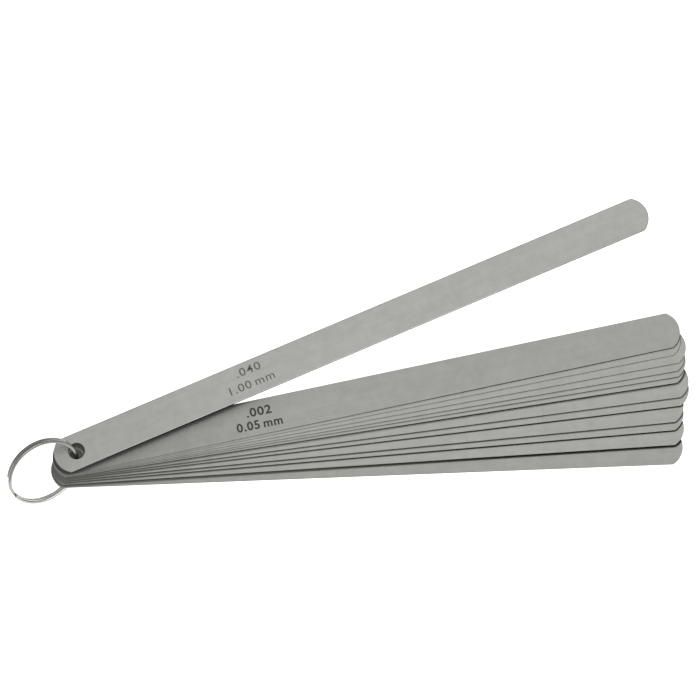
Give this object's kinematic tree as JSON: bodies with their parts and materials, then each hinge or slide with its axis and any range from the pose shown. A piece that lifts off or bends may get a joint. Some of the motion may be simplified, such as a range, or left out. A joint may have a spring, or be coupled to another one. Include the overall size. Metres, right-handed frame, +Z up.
{
  "type": "feeler gauge",
  "caption": "Fan of long straight steel gauge leaves of stepped thickness, each with rounded ends and a hole, threaded on a small split ring.",
  "frame": {"origin": "centre of the split ring", "axes": "+X along the leaves towards their tips, +Z up through the stack from the thickest-but-one leaf at the bottom to the 1.00 mm leaf on top"},
  "size_m": [0.2417, 0.11, 0.0236],
  "materials": {
    "leaf_steel": "satin ground spring steel",
    "ring_nickel": "bright nickel plate"
  },
  "bodies": {
    "ring": {"split_ring": "ring_nickel"},
    "leaf_100": {"leaf_100": "leaf_steel"},
    "leaf_005": {"leaf_005": "leaf_steel"},
    "leaf_010": {"leaf_010": "leaf_steel"},
    "leaf_015": {"leaf_015": "leaf_steel"},
    "leaf_020": {"leaf_020": "leaf_steel"},
    "leaf_025": {"leaf_025": "leaf_steel"},
    "leaf_030": {"leaf_030": "leaf_steel"},
    "leaf_040": {"leaf_040": "leaf_steel"},
    "leaf_050": {"leaf_050": "leaf_steel"},
    "leaf_060": {"leaf_060": "leaf_steel"},
    "leaf_070": {"leaf_070": "leaf_steel"},
    "leaf_080": {"leaf_080": "leaf_steel"},
    "leaf_090": {"leaf_090": "leaf_steel"}
  },
  "joints": [
    {"name": "leaf_100_swing", "type": "hinge", "parent": "ring", "child": "leaf_100", "pos_m": [0.01173, 0.00715, -0.0007], "axis": [0, 0, 1], "range_deg": [-138.3, 161.7]},
    {"name": "leaf_005_swing", "type": "hinge", "parent": "ring", "child": "leaf_005", "pos_m": [0.0114, 0.00573, -0.00128], "axis": [0, 0, 1], "range_deg": [-127.2, 172.8]},
    {"name": "leaf_010_swing", "type": "hinge", "parent": "ring", "child": "leaf_010", "pos_m": [0.01139, 0.00562, -0.0015], "axis": [0, 0, 1], "range_deg": [-126.5, 173.6]},
    {"name": "leaf_015_swing", "type": "hinge", "parent": "ring", "child": "leaf_015", "pos_m": [0.01137, 0.00554, -0.00168], "axis": [0, 0, 1], "range_deg": [-125.7, 174.3]},
    {"name": "leaf_020_swing", "type": "hinge", "parent": "ring", "child": "leaf_020", "pos_m": [0.01136, 0.00542, -0.0019], "axis": [0, 0, 1], "range_deg": [-125, 175.1]},
    {"name": "leaf_025_swing", "type": "hinge", "parent": "ring", "child": "leaf_025", "pos_m": [0.01135, 0.00527, -0.00217], "axis": [0, 0, 1], "range_deg": [-124.5, 175.6]},
    {"name": "leaf_030_swing", "type": "hinge", "parent": "ring", "child": "leaf_030", "pos_m": [0.01134, 0.00507, -0.0025], "axis": [0, 0, 1], "range_deg": [-124, 176.1]},
    {"name": "leaf_040_swing", "type": "hinge", "parent": "ring", "child": "leaf_040", "pos_m": [0.01134, 0.00471, -0.00302], "axis": [0, 0, 1], "range_deg": [-122.7, 177.3]},
    {"name": "leaf_050_swing", "type": "hinge", "parent": "ring", "child": "leaf_050", "pos_m": [0.0113, 0.00435, -0.00352], "axis": [0, 0, 1], "range_deg": [-122, 178.1]},
    {"name": "leaf_060_swing", "type": "hinge", "parent": "ring", "child": "leaf_060", "pos_m": [0.01124, 0.00389, -0.00412], "axis": [0, 0, 1], "range_deg": [-120.6, 179.4]},
    {"name": "leaf_070_swing", "type": "hinge", "parent": "ring", "child": "leaf_070", "pos_m": [0.01112, 0.0033, -0.00482], "axis": [0, 0, 1], "range_deg": [-120, 180]},
    {"name": "leaf_080_swing", "type": "hinge", "parent": "ring", "child": "leaf_080", "pos_m": [0.01092, 0.00257, -0.00562], "axis": [0, 0, 1], "range_deg": [-118.8, 181.2]},
    {"name": "leaf_090_swing", "type": "hinge", "parent": "ring", "child": "leaf_090", "pos_m": [0.01053, 0.00155, -0.00662], "axis": [0, 0, 1], "range_deg": [-117.2, 182.8]}
  ]
}
